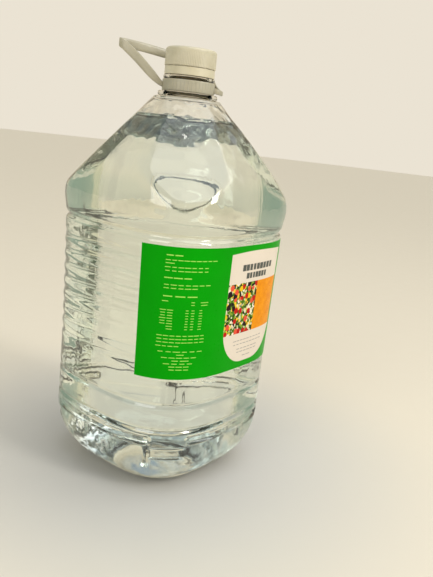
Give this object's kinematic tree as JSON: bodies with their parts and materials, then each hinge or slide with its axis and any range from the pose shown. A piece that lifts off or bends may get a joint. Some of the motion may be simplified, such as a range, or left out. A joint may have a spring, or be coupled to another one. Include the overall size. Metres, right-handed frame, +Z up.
{
  "type": "vinegar bottle",
  "caption": "Large square-shouldered clear plastic vinegar bottle with wrap-round label, screw cap and a strap handle that turns on the neck.",
  "frame": {"origin": "centre of the base, on the surface that the bottle stands on", "axes": "+Z up along the neck's axis; the middle of the label faces about -Y; the flats of the body face X and Y"},
  "size_m": [0.1574, 0.1574, 0.3339],
  "materials": {
    "clear_plastic": "clear blown plastic, glossy",
    "vinegar": "clear liquid, very slightly green-grey",
    "label": "printed film, satin",
    "cap_plastic": "natural milky plastic, satin",
    "handle_plastic": "natural milky plastic, satin"
  },
  "bodies": {
    "filled_bottle": {"bottle": "clear_plastic", "vinegar": "vinegar", "label": "label", "cap": "cap_plastic", "tamper_band": "cap_plastic"},
    "carrier": {"handle": "handle_plastic"}
  },
  "joints": [
    {"name": "handle_turn", "type": "hinge", "parent": "filled_bottle", "child": "carrier", "pos_m": [0, 0, 0.3032], "axis": [0, 0, 1], "continuous": true}
  ]
}
